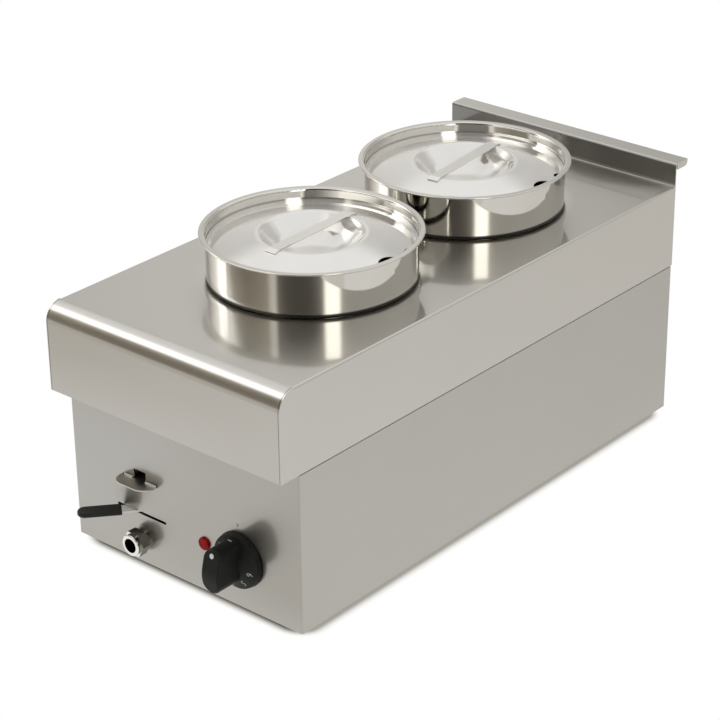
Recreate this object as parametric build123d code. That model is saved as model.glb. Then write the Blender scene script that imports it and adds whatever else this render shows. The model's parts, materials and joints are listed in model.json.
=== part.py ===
from build123d import *
import os
from math import atan2, cos, radians, sin, sqrt, tan

# Two-pot wet bain marie for a counter. Millimetres, X to the right seen from the front,
# Y to the back, Z up from the counter.

# Hob top and casing
width = 300.0
body_height = 260.0
foot_height = 6.0
sheet = 1.2
fold = 1.2
skirt_height = 90.5
nose_radius = 19.0
seam = 0.5
side_seam = 1.3
side_inset = 0.3
overhang = 23.7
upstand_height = 25.7
return_depth = 21.5
return_tab = 6.0
slip = 0.2
top_flange = 8.0
bottom_flange = 36.0
casing_bend = 2.0

# Pots, lids and the holes they stand in
front_pot_back = 215.1
pot_pitch = 238.5
rear_pot_margin = 168.4
rim_flare = 6.1
rim_height = 47.5
rim_thickness = 1.8
pot_height = 168.0
pot_wall_radius = 104.0
collar_wall = 0.8
pot_wall = 1.8
pot_floor = 1.5
pot_corner = 9.0
pot_taper = 0.6
pot_shoulder = 3.8
shoulder_round = 3.6
pot_body_wall = 1.2
lid_seat_depth = 12.4
lid_slip = 0.3
hole_gap = 0.5
hole_lip = 4.0
dish_width = 14.0
dish_depth = 1.6
dish_share = 0.6
lid_sheet = 0.8
lid_edge_height = 1.4
lid_drop = 1.2
lid_crest_depth = 3.2
bowl_radius = 51.5
crest_width = 4.0
bowl_depth = 23.8
bowl_floor_radius = 30.0
strap_width = 12.0
strap_sheet = 1.5
strap_lap = 6.5
ladle_notch_radius = 17.0
ladle_notch_inset = 2.0
ladle_notch_angle = 1.7
spoon_notch_radius = 7.0
spoon_notch_inset = 3.0
spoon_notch_angle = 22.5
lid_turn = {"front": 1.5, "rear": 6.3}

# Wet well, trivet, heating element and sensing bulb
well_side_gap = 21.4
well_end_gap = 22.3
well_corner = 18.0
well_floor_corner = 8.0
well_flange = 9.0
well_room = 31.5
trivet_sheet = 1.2
trivet_side_gap = 21.0
trivet_inset = 14.0
trivet_hole_radius = 13.0
trivet_rows = 7
trivet_columns = 3
element_radius = 4.0
element_half = 45.0
element_lift = 14.0
element_end_gap = 46.0
element_bend = 36.0
terminal_out = 22.0
terminal_nut_radius = 9.0
terminal_nut_length = 6.0
bulb_radius = 3.0
bulb_length = 90.0
bulb_offset = 11.5
bulb_lift = 12.0
capillary_radius = 1.2
capillary_bend = 8.0
gland_nut_radius = 6.0
gland_nut_length = 5.0

# Drain valve behind the front panel
drain_side_inset = 90.6
drain_height = 26.0
pivot_back = 16.4
valve_radius = 14.0
neck_wall = 2.0
neck_reach = 5.0
valve_bore = 6.5
ball_radius = 10.0
ball_gap = 0.3
ball_bore = 6.0
quarter_turn = 90.0
seat_gap = 0.05
valve_split = 6.0
seat_radius = 8.6
inlet_reach = 12.0
pipe_radius = 7.5
pipe_wall = 0.7
pipe_bend = 26.0
drain_inset = 24.0
pipe_joint = 0.1
outlet_nut_out = 18.3
outlet_nut_across = 24.0
nut_collar_wall = 1.7
nut_collar_front = 4.2
nut_collar_back = 3.6
panel_hole_gap = 1.2
inlet_nut_length = 13.0
boss_radius = 12.0
boss_height = 14.0
stem_radius = 4.0
stem_square = 6.0
stem_collar = 5.5
running_gap = 0.05
bonnet_radius = 8.5
bonnet_height = 23.0
tang_width = 3.0
tang_depth = 2.5

# Drain lever, its sleeve and its nut
lever_rise = 5.7
lever_sheet = 2.0
lever_width = 13.0
lever_reach = 74.775
lever_rest = 41.0
lever_slot_half = 33.2
lever_slot_gap = 0.5
sleeve_start = 31.5
sleeve_wall = 1.6
sleeve_round = 1.7
lever_nut_across = 10.0
lever_nut_height = 4.5
stem_stand = 0.6

# Catch above the lever
catch_rise = 36.6
catch_half = 23.2
catch_out = 17.3
catch_gap = 1.5
catch_sheet = 1.2
catch_left_corner = 13.0
catch_right_corner = 15.4
catch_neck_half = 7.0
catch_slit_end = 0.6
catch_slit_gap = 0.4
catch_side_gap = 1.0
catch_window_height = 9.4
hinge_back = 25.0
hinge_rise = 8.0
catch_pin_radius = 2.0
knuckle_radius = 4.0
ear_sheet = 1.5
ear_foot = 9.0
tongue_half = 4.0
tongue_back = 12.5
tongue_clearance = 2.4

# Control knob, thermostat and neon
knob_side_inset = 76.1
knob_height = 52.5
knob_radius = 28.9
knob_gap = 1.2
knob_edge = 5.5
knob_face = 12.5
knob_out = 41.6
knob_edge_round = 1.0
grip_half_width = 11.0
grip_top = 26.5
grip_bottom = 18.6
grip_nose = 3.0
grip_crown = 32.0
grip_round = 2.5
knob_wall = 4.3
knob_recess_depth = 5.0
hub_radius = 7.0
spindle_radius = 3.0
spindle_hole_gap = 2.0
spindle_in_knob = 22.0
spindle_in_body = 14.0
thermostat_width = 46.0
thermostat_tall = 38.0
thermostat_deep = 34.0
thermostat_screw_pitch = 28.0
screw_radius = 2.0
screw_head_radius = 3.8
screw_head_height = 2.0
neon_pitch = 46.0
neon_radius = 6.9
neon_rim = 1.2
neon_out = 2.6
neon_neck_radius = 5.0
neon_clip_radius = 8.0
neon_body_length = 26.0
neon_clip_height = 3.0

# Base, rear panel, feet and supply entry
foot_radius = 12.0
foot_tip_radius = 10.5
foot_inset = 24.0
foot_well_depth = 3.0
foot_well_radius = 5.0
foot_nut_across = 7.0
foot_nut_height = 3.2
vent_length = 60.0
vent_width = 5.0
vent_pitch = 22.0
vent_count = 7
rear_vent_height = 150.0
rear_screw_inset = 4.6
rear_screw_rows = 3
gland_side_inset = 53.6
gland_height = 58.0
cable_bore = 4.3
gland_thread_radius = 8.0
gland_hex_across = 22.0
gland_hex_length = 6.0
gland_dome_radius = 10.0
gland_dome_length = 11.0
locknut_length = 4.0
block_width = 46.0
block_deep = 20.0
block_tall = 15.0
block_ways = 3
block_back = 90.0

# Places worked out from the sizes above
half = width / 2
deck_depth = front_pot_back + pot_pitch + rear_pot_margin
sleeve_half = lever_width / 2 + sleeve_wall
lever_lean = cos(radians(lever_rest))
lever_out = (lever_reach - sleeve_half) * lever_lean + sleeve_half - pivot_back - overhang
total_depth = lever_out + deck_depth + return_depth
skirt_y = lever_out - total_depth / 2
panel_y = skirt_y + overhang
panel_back = panel_y + sheet
rear_y = skirt_y + deck_depth
return_y = rear_y + return_depth
nose_y = skirt_y + nose_radius
casing_z = foot_height
deck_z = foot_height + body_height
under_z = deck_z - sheet
skirt_z = deck_z - skirt_height
upstand_z = deck_z + upstand_height
casing_half = half - sheet - slip
inner_half = casing_half - sheet
shell_half = half - side_inset
seam_z = skirt_z - side_seam
front_pot_y = skirt_y + front_pot_back
rear_pot_y = front_pot_y + pot_pitch
pot_places = {"front": front_pot_y, "rear": rear_pot_y}
rim_z = deck_z + rim_height
pot_z = rim_z - pot_height
rim_radius = pot_wall_radius + rim_flare
collar_radius = pot_wall_radius - collar_wall
crest_radius = bowl_radius + crest_width
lid_edge = collar_radius - lid_slip
lid_bead = lid_edge - 2 * lid_edge_height
cone_fall = (lid_seat_depth + lid_drop - lid_crest_depth) / (lid_bead - lid_sheet - crest_radius)
strap_half = crest_radius + strap_lap
strap_drop = strap_lap * cone_fall - running_gap
pot_body_radius = pot_wall_radius - pot_shoulder
hole_radius = pot_body_radius + hole_gap
dish_radius = pot_wall_radius + dish_width
well_half = inner_half - well_side_gap
trivet_half = well_half - trivet_side_gap
well_front = front_pot_y - hole_radius - well_end_gap
well_rear = rear_pot_y + hole_radius + well_end_gap
well_z = pot_z - well_room
element_z = well_z + element_lift
bulb_z = well_z + bulb_lift
drain_x = drain_side_inset - casing_half
pivot_y = panel_y + pivot_back
neck_radius = pipe_radius + neck_wall
nut_collar_radius = neck_radius + nut_collar_wall
valve_z = foot_height + drain_height
lever_z = valve_z + bonnet_height + lever_rise
catch_z = lever_z + catch_rise
catch_slit_half = catch_half + catch_slit_end
catch_window_half = catch_neck_half + catch_side_gap
hinge_y = panel_y + hinge_back
hinge_z = catch_z + hinge_rise
knob_x = casing_half - knob_side_inset
knob_z = foot_height + knob_height
knob_recess_radius = knob_radius - knob_wall
neon_x = knob_x - neon_pitch
bulb_x = knob_x + bulb_offset
knob_back_y = panel_y - knob_gap
neck_end_y = panel_y - neck_reach
inlet_end_y = pivot_y + valve_radius + inlet_reach
pipe_rise_y = well_front + drain_inset
foot_x = casing_half - foot_inset
foot_ys = (panel_y + foot_inset, rear_y - foot_inset)
foot_places = [(x, y) for x in (-foot_x, foot_x) for y in foot_ys]
floor_z = casing_z + 2 * sheet
gland_x = gland_side_inset - casing_half
gland_z = foot_height + gland_height
spindle_reach_y = panel_back + spindle_in_body
rear_face_y = rear_y + sheet


def block(x0, x1, y0, y1, z0, z1):
    """Box between two corners."""
    place = Pos((x0 + x1) / 2, (y0 + y1) / 2, (z0 + z1) / 2)
    return place * Box(x1 - x0, y1 - y0, z1 - z0)


def upright(x, y, z0, z1, radius):
    """Cylinder that stands along Z."""
    return Pos(x, y, (z0 + z1) / 2) * Cylinder(radius, z1 - z0)


def lengthwise(x, z, y0, y1, radius):
    """Cylinder that lies along Y."""
    return Pos(x, (y0 + y1) / 2, z) * Rot(90, 0, 0) * Cylinder(radius, y1 - y0)


def crosswise(y, z, x0, x1, radius):
    """Cylinder that lies along X."""
    return Pos((x0 + x1) / 2, y, z) * Rot(0, 90, 0) * Cylinder(radius, x1 - x0)


def hexagon_along_y(x, z, y0, y1, across):
    """Hexagon bar that lies along Y, with a flat on top."""
    face = RegularPolygon(across / 2, 6, major_radius=False)
    bar = Pos(0, 0, -(y1 - y0) / 2) * extrude(face, y1 - y0)
    return Pos(x, (y0 + y1) / 2, z) * Rot(90, 0, 0) * bar


def rounded_face(corners):
    """Closed outline from (u, v, radius) corners. A zero radius keeps a corner sharp."""
    face = make_face(Polyline(*[(u, v) for u, v, radius in corners], close=True))
    for u, v, radius in corners:
        if radius > 0:
            corner = face.vertices().sort_by_distance((u, v, 0))[0]
            face = fillet(corner, radius)
    return face


def turned(corners):
    """Solid turned about Z from an outline of (radius, height, corner radius)."""
    return revolve(Plane.XZ * rounded_face(corners), Axis.Z)


def group(solids):
    """Separate solids kept together as one node."""
    return Compound(children=list(solids))


def hob_nose():
    """Front skirt and rounded nose, which stop short of the side skirts at an open seam."""
    lap = nose_y + sheet
    section = rounded_face([
        (skirt_y, skirt_z, 0),
        (skirt_y, deck_z, nose_radius),
        (lap, deck_z, 0),
        (lap, under_z, 0),
        (skirt_y + sheet, under_z, nose_radius - sheet),
        (skirt_y + sheet, skirt_z, 0),
    ])
    return extrude(Plane.YZ * section, half - sheet - seam, both=True)


def hob_deck():
    """Deck and the long side skirts, folded from one width of sheet."""
    section = rounded_face([
        (-half, skirt_z, 0),
        (-half, deck_z, fold + sheet),
        (half, deck_z, fold + sheet),
        (half, skirt_z, 0),
        (half - sheet, skirt_z, 0),
        (half - sheet, under_z, fold),
        (sheet - half, under_z, fold),
        (sheet - half, skirt_z, 0),
    ])
    return Pos(0, rear_face_y, 0) * extrude(Plane.XZ * section, rear_face_y - nose_y)


def side_cheek(x0):
    """Front end of a side skirt, rounded to follow the nose."""
    outline = rounded_face([
        (skirt_y, skirt_z, 0),
        (skirt_y, deck_z, nose_radius),
        (nose_y, deck_z, 0),
        (nose_y, skirt_z, 0),
    ])
    return Pos(x0, 0, 0) * extrude(Plane.YZ * outline, sheet)


def hob_upstand():
    """Upstand along the back, its return and a turned-down tab at each end."""
    start = rear_y - 2 * sheet
    section = rounded_face([
        (start, deck_z, 0),
        (rear_y, deck_z, fold),
        (rear_y, upstand_z, fold + sheet),
        (return_y, upstand_z, 0),
        (return_y, upstand_z - sheet, 0),
        (rear_face_y, upstand_z - sheet, fold),
        (rear_face_y, under_z, 0),
        (start, under_z, 0),
    ])
    upstand = extrude(Plane.YZ * section, half, both=True)
    tab_z = upstand_z - sheet - return_tab
    tab = rounded_face([
        (rear_face_y + fold + slip, upstand_z - sheet / 2, 0),
        (return_y, upstand_z - sheet / 2, 0),
        (return_y, tab_z, return_tab - sheet),
        (rear_face_y + fold + slip, tab_z, fold),
    ])
    for x0 in (-half, half - sheet):
        upstand += Pos(x0, 0, 0) * extrude(Plane.YZ * tab, sheet)
    return upstand


def pot_dish():
    """Shallow dish pressed round a pot hole, with a turned-down lip. The deck's face is at height zero."""
    reach = (dish_radius - hole_radius) / 2
    middle = hole_radius + reach
    bend = dish_share * reach / tan(atan2(dish_depth, reach) / 2)
    low = -dish_depth - hole_lip
    return turned([
        (dish_radius, 0, 0),
        (middle, 0, bend),
        (hole_radius, -dish_depth, fold + sheet),
        (hole_radius, low, 0),
        (hole_radius + sheet, low, 0),
        (hole_radius + sheet, -dish_depth - sheet, fold),
        (middle, -sheet, bend),
        (dish_radius, -sheet, 0),
    ])


def hob_top():
    """Hob top with a dished hole for each pot."""
    top = hob_deck() + hob_nose() + hob_upstand()
    top += side_cheek(-half) + side_cheek(half - sheet)
    for y in pot_places.values():
        top -= upright(0, y, under_z, deck_z, dish_radius)
        top += Pos(0, y, deck_z) * pot_dish()
    return top


def panel_openings():
    """Everything cut through the front panel."""
    y0 = panel_y - sheet
    y1 = panel_back + sheet
    slot_tall = lever_sheet + 2 * lever_slot_gap
    slot = Rot(90, 0, 0) * extrude(SlotOverall(2 * lever_slot_half, slot_tall), y1 - y0, both=True)
    slit_low = catch_z - catch_sheet / 2
    slit_high = catch_z + catch_sheet / 2 + catch_slit_gap
    x = drain_x
    cuts = Pos(x, panel_y, lever_z) * slot
    cuts += block(x - catch_slit_half, x + catch_slit_half, y0, y1, slit_low, slit_high)
    window_z = slit_high + catch_window_height
    cuts += block(x - catch_window_half, x + catch_window_half, y0, y1, slit_low, window_z)
    cuts += lengthwise(x, valve_z, y0, y1, neck_radius + panel_hole_gap)
    cuts += lengthwise(knob_x, knob_z, y0, y1, spindle_radius + spindle_hole_gap)
    cuts += lengthwise(neon_x, knob_z, y0, y1, neon_neck_radius)
    for side in (-1, 1):
        z = knob_z + side * thermostat_screw_pitch / 2
        cuts += lengthwise(knob_x, z, y0, y1, screw_radius)
    return cuts


def casing_wrap(outer, inner, z0, z1):
    """Front and both sides with a return at the back, between two heights."""
    lip = casing_half - top_flange - sheet
    outline = rounded_face([
        (-outer, panel_y, casing_bend),
        (outer, panel_y, casing_bend),
        (outer, rear_y, 0),
        (lip, rear_y, 0),
        (lip, rear_y - sheet, 0),
        (inner, rear_y - sheet, 0),
        (inner, panel_back, casing_bend - sheet),
        (-inner, panel_back, casing_bend - sheet),
        (-inner, rear_y - sheet, 0),
        (-lip, rear_y - sheet, 0),
        (-lip, rear_y, 0),
        (-outer, rear_y, 0),
    ])
    return Pos(0, 0, z0) * extrude(outline, z1 - z0)


def casing():
    """Front panel and both sides in one folded wrap, stepped in under the hob's skirts, with flanges all round."""
    wrap = casing_wrap(shell_half, shell_half - sheet, casing_z, seam_z)
    wrap += casing_wrap(shell_half, inner_half, seam_z - sheet, seam_z)
    wrap += casing_wrap(casing_half, inner_half, seam_z, under_z)
    room_rear = rear_y - sheet
    for z0, reach, wide in ((casing_z, bottom_flange, shell_half - sheet), (under_z - sheet, top_flange, inner_half)):
        ring = block(-wide, wide, panel_back, room_rear, z0, z0 + sheet)
        x = inner_half - reach
        gap = block(-x, x, panel_back + reach, room_rear - reach, z0, z0 + sheet)
        wrap += ring - gap
    shoulders = wrap.edges().filter_by(Axis.Y).group_by(Axis.Z)[-1].sort_by(Axis.X)
    wrap = fillet([shoulders[0], shoulders[-1]], fold + slip)
    for x, y in foot_places:
        wrap -= upright(x, y, casing_z, casing_z + sheet, screw_radius)
    for x, z in rear_screw_places():
        wrap -= lengthwise(x, z, room_rear, rear_y, screw_radius)
    return wrap - panel_openings()


def rear_screw_places():
    """Screws down both edges of the rear panel."""
    x = casing_half - rear_screw_inset
    low = casing_z + bottom_flange
    high = under_z - bottom_flange
    step = (high - low) / (rear_screw_rows - 1)
    return [(side * x, low + n * step) for side in (-1, 1) for n in range(rear_screw_rows)]


def rear_panel():
    """Back sheet with a row of vent slots and the supply entry hole."""
    edge = casing_half - fold
    panel = block(-edge, edge, rear_y, rear_face_y, casing_z, under_z)
    slot = Rot(90, 0, 0) * extrude(SlotOverall(vent_length, vent_width), sheet, both=True)
    slot = Rot(0, 90, 0) * slot
    for n in range(vent_count):
        x = (n - (vent_count - 1) / 2) * vent_pitch
        panel -= Pos(x, rear_face_y, rear_vent_height) * slot
    panel -= lengthwise(gland_x, gland_z, rear_y, rear_face_y, gland_thread_radius)
    for x, z in rear_screw_places():
        panel -= lengthwise(x, z, rear_y, rear_face_y, screw_radius)
    return panel


def rear_screws():
    """Pan-head screws that hold the rear panel to the casing's flanges."""
    screws = []
    for x, z in rear_screw_places():
        head = lengthwise(x, z, rear_face_y, rear_face_y + screw_head_height, screw_head_radius)
        shank = lengthwise(x, z, rear_y - sheet - screw_head_height, rear_face_y, screw_radius)
        screws.append(head + shank)
    return group(screws)


def base_plate():
    """Floor of the casing, on its bottom flanges, with vent slots."""
    x = inner_half - slip
    y0 = panel_back + slip
    y1 = rear_y - sheet - slip
    plate = block(-x, x, y0, y1, casing_z + sheet, floor_z)
    slot = extrude(SlotOverall(vent_length, vent_width), 2 * sheet, both=True)
    middle = (y0 + y1) / 2
    for n in range(vent_count):
        y = middle + (n - (vent_count - 1) / 2) * vent_pitch
        for side in (-1, 1):
            plate -= Pos(side * vent_length, y, floor_z) * slot
    for x, y in foot_places:
        plate -= upright(x, y, casing_z + sheet, floor_z, screw_radius)
    return plate


def feet():
    """Four low rubber feet, hollow underneath for their screws."""
    foot = turned([
        (screw_radius, foot_well_depth, 0),
        (foot_well_radius, foot_well_depth, 0),
        (foot_well_radius, 0, 0),
        (foot_tip_radius, 0, 0),
        (foot_radius, foot_height, 0),
        (screw_radius, foot_height, 0),
    ])
    return group([Pos(x, y, 0) * foot for x, y in foot_places])


def foot_screws():
    """Screws up through the feet, the flange and the base plate."""
    low = foot_well_depth - screw_head_height
    high = floor_z + foot_nut_height + sheet
    head = upright(0, 0, low, foot_well_depth, screw_head_radius)
    screw = head + upright(0, 0, foot_well_depth, high, screw_radius)
    return group([Pos(x, y, 0) * screw for x, y in foot_places])


def foot_nuts():
    """Nuts on the foot screws, inside the casing."""
    face = RegularPolygon(foot_nut_across / 2, 6, major_radius=False) - Circle(screw_radius)
    nut = Pos(0, 0, floor_z) * extrude(face, foot_nut_height)
    return group([Pos(x, y, 0) * nut for x, y in foot_places])


def well_block(grow, z0, z1):
    """Rounded block of the well's plan, larger all round by grow."""
    wide = 2 * (well_half + grow)
    deep = well_rear - well_front + 2 * grow
    plan = RectangleRounded(wide, deep, well_corner + grow)
    return Pos(0, (well_front + well_rear) / 2, z0) * extrude(plan, z1 - z0)


def water_tank():
    """Wet well that hangs under the deck from its flange."""
    outer = well_block(sheet, well_z - sheet, under_z)
    outer = fillet(outer.faces().sort_by(Axis.Z)[0].edges(), well_floor_corner + sheet)
    inner = well_block(0, well_z, under_z)
    inner = fillet(inner.faces().sort_by(Axis.Z)[0].edges(), well_floor_corner)
    flange = well_block(sheet + well_flange, under_z - sheet, under_z)
    tank = outer + flange - inner
    tank -= upright(drain_x, pipe_rise_y, well_z - sheet, well_z, pipe_radius - pipe_wall)
    y0 = well_front - sheet
    for side in (-1, 1):
        tank -= lengthwise(side * element_half, element_z, y0, well_front, element_radius)
    return tank - lengthwise(bulb_x, bulb_z, y0, well_front, capillary_radius)


def trivet():
    """Perforated stand with folded sides that keeps the pots off the element."""
    y0 = well_front + trivet_inset
    y1 = well_rear - trivet_inset
    shape = block(-trivet_half, trivet_half, y0, y1, well_z, pot_z)
    x = trivet_half - trivet_sheet
    shape -= block(-x, x, y0, y1, well_z, pot_z - trivet_sheet)
    row_step = (y1 - y0) / trivet_rows
    column_step = 2 * x / trivet_columns
    for row in range(trivet_rows):
        for column in range(trivet_columns):
            hole_x = -x + (column + 0.5) * column_step
            hole_y = y0 + (row + 0.5) * row_step
            shape -= upright(hole_x, hole_y, pot_z - trivet_sheet, pot_z, trivet_hole_radius)
    return shape


def heating_element():
    """Tubular hairpin element whose cold ends pass through the well's front wall."""
    y0 = well_front - terminal_out
    y1 = well_rear - element_end_gap
    path = FilletPolyline(
        (-element_half, y0, element_z),
        (-element_half, y1, element_z),
        (element_half, y1, element_z),
        (element_half, y0, element_z),
        radius=element_bend,
    )
    start = Plane(origin=path @ 0, z_dir=path % 0)
    return sweep(start * Circle(element_radius), path)


def element_nuts():
    """Nuts that clamp the element's ends to the well's front wall."""
    y1 = well_front - sheet
    y0 = y1 - terminal_nut_length
    nuts = []
    for side in (-1, 1):
        x = side * element_half
        nut = hexagon_along_y(x, element_z, y0, y1, 2 * terminal_nut_radius)
        nuts.append(nut - lengthwise(x, element_z, y0, y1, element_radius))
    return group(nuts)


def sensing_bulb():
    """Thermostat bulb in the well and the capillary back to the thermostat."""
    bulb_y = well_front + terminal_out
    bulb = lengthwise(bulb_x, bulb_z, bulb_y, bulb_y + bulb_length, bulb_radius)
    entry_y = panel_back + thermostat_deep
    turn_y = (entry_y + well_front) / 2
    path = FilletPolyline(
        (bulb_x, bulb_y, bulb_z),
        (bulb_x, turn_y, bulb_z),
        (bulb_x, turn_y, knob_z),
        (bulb_x, entry_y, knob_z),
        radius=capillary_bend,
    )
    start = Plane(origin=path @ 0, z_dir=path % 0)
    return bulb + sweep(start * Circle(capillary_radius), path)


def bulb_gland():
    """Small gland nut where the capillary leaves the well."""
    y1 = well_front - sheet
    y0 = y1 - gland_nut_length
    nut = hexagon_along_y(bulb_x, bulb_z, y0, y1, 2 * gland_nut_radius)
    return nut - lengthwise(bulb_x, bulb_z, y0, y1, capillary_radius)


def pot():
    """Polished pot that hangs in the deck by a rounded shoulder, with its rim top at height zero."""
    low = -pot_height
    wall = pot_wall_radius - pot_wall
    body = pot_body_radius - pot_body_wall
    shoulder = slip - rim_height - dish_depth
    return turned([
        (0, low, 0),
        (pot_body_radius - pot_taper, low, pot_corner),
        (pot_body_radius, shoulder, 0),
        (pot_wall_radius, shoulder, shoulder_round),
        (pot_wall_radius, -rim_thickness, rim_thickness / 2),
        (rim_radius, -rim_thickness, rim_thickness * 0.45),
        (rim_radius, 0, rim_thickness * 0.45),
        (collar_radius, 0, rim_thickness + collar_wall),
        (collar_radius, -lid_seat_depth, 0),
        (wall, -lid_seat_depth, 0),
        (wall, shoulder + pot_body_wall, shoulder_round - pot_wall),
        (body, shoulder + pot_body_wall, pot_body_wall),
        (body - pot_taper, low + pot_floor, pot_corner - pot_floor),
        (0, low + pot_floor, 0),
    ])


def lid():
    """Lid with a beaded edge, a raised cone and a hand bowl, in the pot's heights."""
    edge = lid_edge
    bead = lid_bead
    bead_z = lid_edge_height - lid_seat_depth
    drop_z = -lid_seat_depth - lid_drop
    crest_z = -lid_crest_depth
    bowl_z = crest_z - bowl_depth
    crest = crest_radius
    shape = Rot(0, 0, 180) * turned([
        (0, bowl_z, 0),
        (bowl_floor_radius, bowl_z, bowl_floor_radius - fold),
        (bowl_radius, crest_z, 2 * fold),
        (crest, crest_z, 4 * fold),
        (bead - lid_sheet, drop_z, 0),
        (bead, bead_z, 0),
        (edge, bead_z, 0),
        (edge, -lid_seat_depth, 0),
        (bead + lid_sheet, -lid_seat_depth, 0),
        (bead, drop_z - lid_sheet, 0),
        (crest - lid_sheet / 4, crest_z - lid_sheet, 4 * fold - lid_sheet),
        (bowl_radius + lid_sheet / 2, crest_z - lid_sheet, 2 * fold + lid_sheet),
        (bowl_floor_radius + lid_sheet / 2, bowl_z - lid_sheet, bowl_floor_radius - fold),
        (0, bowl_z - lid_sheet, 0),
    ])
    notches = (
        (ladle_notch_angle, edge - ladle_notch_inset, ladle_notch_radius),
        (spoon_notch_angle, edge - spoon_notch_inset, spoon_notch_radius),
    )
    for angle, reach, radius in notches:
        x = reach * cos(radians(angle))
        y = reach * sin(radians(angle))
        shape -= upright(x, y, bowl_z, 0, radius)
    return shape


def lid_handle():
    """Flat strap across the hand bowl, on the lid's crest, with its ends bent down along the cone."""
    section = rounded_face([
        (-strap_half, -strap_drop, 0),
        (-crest_radius, 0, 0),
        (crest_radius, 0, 0),
        (strap_half, -strap_drop, 0),
        (strap_half, strap_sheet - strap_drop, strap_sheet / 2),
        (crest_radius, strap_sheet, 2 * fold),
        (-crest_radius, strap_sheet, 2 * fold),
        (-strap_half, strap_sheet - strap_drop, strap_sheet / 2),
    ])
    strap = extrude(Plane.YZ * section, strap_width / 2, both=True)
    return Pos(0, 0, -lid_crest_depth) * strap


def valve_cavity():
    """Space inside the drain valve: ball chamber, seat pockets and the way through."""
    y0 = neck_end_y
    y1 = inlet_end_y
    space = Pos(drain_x, pivot_y, valve_z) * Sphere(ball_radius + ball_gap)
    space += lengthwise(drain_x, valve_z, y0, y1, valve_bore)
    reach = ball_radius + ball_gap
    return space + lengthwise(drain_x, valve_z, pivot_y - reach, pivot_y + reach, seat_radius)


def valve_body():
    """Front part of the drain valve, with the outlet neck and the stem's bonnet."""
    split = pivot_y + valve_split
    shape = lengthwise(drain_x, valve_z, panel_back, split, valve_radius)
    shape += lengthwise(drain_x, valve_z, neck_end_y, panel_back, neck_radius)
    shape += upright(drain_x, pivot_y, valve_z, valve_z + bonnet_height, bonnet_radius)
    top = valve_z + bonnet_height
    shape -= block(drain_x - half, drain_x + half, split, rear_y, casing_z, top)
    shape -= upright(drain_x, pivot_y, valve_z, top, stem_radius + running_gap)
    return shape - valve_cavity()


def valve_inlet():
    """Rear part of the drain valve, screwed to the body, with the inlet neck."""
    split = pivot_y + valve_split
    shoulder = pivot_y + valve_radius
    shape = hexagon_along_y(drain_x, valve_z, split, shoulder, 2 * valve_radius)
    shape += lengthwise(drain_x, valve_z, shoulder, inlet_end_y, neck_radius)
    top = valve_z + bonnet_height
    reach = bonnet_radius + slip
    shape -= upright(drain_x, pivot_y, valve_z, top, reach)
    shape -= lengthwise(drain_x, valve_z, shoulder, inlet_end_y, pipe_radius)
    return shape - valve_cavity()


def ball_seats():
    """Two soft rings that the ball turns between."""
    ball = Pos(drain_x, pivot_y, valve_z) * Sphere(ball_radius + seat_gap)
    reach = ball_radius + ball_gap
    start = sqrt(ball_radius**2 - seat_radius**2)
    rings = []
    for y0, y1 in ((pivot_y - reach, pivot_y - start), (pivot_y + start, pivot_y + reach)):
        ring = lengthwise(drain_x, valve_z, y0, y1, seat_radius)
        ring -= lengthwise(drain_x, valve_z, y0, y1, ball_bore)
        rings.append(ring - ball)
    return group(rings)


def lever_turn(shape):
    """Turn a shape made with the lever straight out of the panel to its resting place."""
    return Pos(drain_x, pivot_y, 0) * Rot(0, 0, -lever_rest) * shape


def valve_ball():
    """Ball whose bore lies across the flow with the lever half a quarter turn to the left."""
    bore = Rot(0, 0, quarter_turn / 2) * Rot(0, 90, 0) * Cylinder(ball_bore, 2 * ball_radius)
    ball = Sphere(ball_radius) - bore
    tang_z = ball_radius - tang_depth
    ball -= block(-ball_radius, ball_radius, -tang_width / 2, tang_width / 2, tang_z, ball_radius)
    return Pos(0, 0, valve_z) * ball


def valve_stem():
    """Stem from the ball's slot up to the lever's square hole and nut."""
    tang_z = valve_z + ball_radius - tang_depth
    chamber_z = valve_z + ball_radius
    lever_low = lever_z - lever_sheet / 2
    nut_z = lever_z + lever_sheet / 2 + lever_nut_height + stem_stand
    collar_z = valve_z + bonnet_height + slip
    stem = block(-stem_radius, stem_radius, -tang_width / 2, tang_width / 2, tang_z, chamber_z)
    stem &= upright(0, 0, tang_z, chamber_z, stem_radius)
    stem += upright(0, 0, chamber_z, lever_low, stem_radius)
    stem += upright(0, 0, collar_z, lever_low, stem_collar)
    side = stem_square / 2
    stem += block(-side, side, -side, side, lever_low, lever_z + lever_sheet / 2)
    return stem + upright(0, 0, lever_z + lever_sheet / 2, nut_z, stem_square / 2)


def lever_outline(start, end, half_width):
    """Plan of the lever from start to a round end, straight out of the panel."""
    shaft = Pos(0, -(start + end - half_width) / 2) * Rectangle(2 * half_width, end - half_width - start)
    return shaft + Pos(0, half_width - end) * Circle(half_width)


def lever_strip():
    """Plan of the flat metal strip, rounded about its pivot."""
    return Circle(lever_width / 2) + lever_outline(0, lever_reach - sleeve_wall, lever_width / 2)


def drain_lever():
    """Flat steel lever with a square hole on the valve stem."""
    plan = lever_strip() - Rectangle(stem_square, stem_square)
    return Pos(0, 0, lever_z - lever_sheet / 2) * extrude(plan, lever_sheet)


def lever_sleeve():
    """Black sleeve pushed over the end of the lever."""
    tall = lever_sheet + 2 * sleeve_wall
    plan = lever_outline(sleeve_start, lever_reach, sleeve_half)
    sleeve = Pos(0, 0, lever_z - tall / 2) * extrude(plan, tall)
    rims = sleeve.faces().sort_by(Axis.Z)
    sleeve = fillet(rims[0].edges() + rims[-1].edges(), sleeve_round)
    strip = Pos(0, 0, lever_z - lever_sheet / 2) * extrude(lever_strip(), lever_sheet)
    return sleeve - strip


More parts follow.
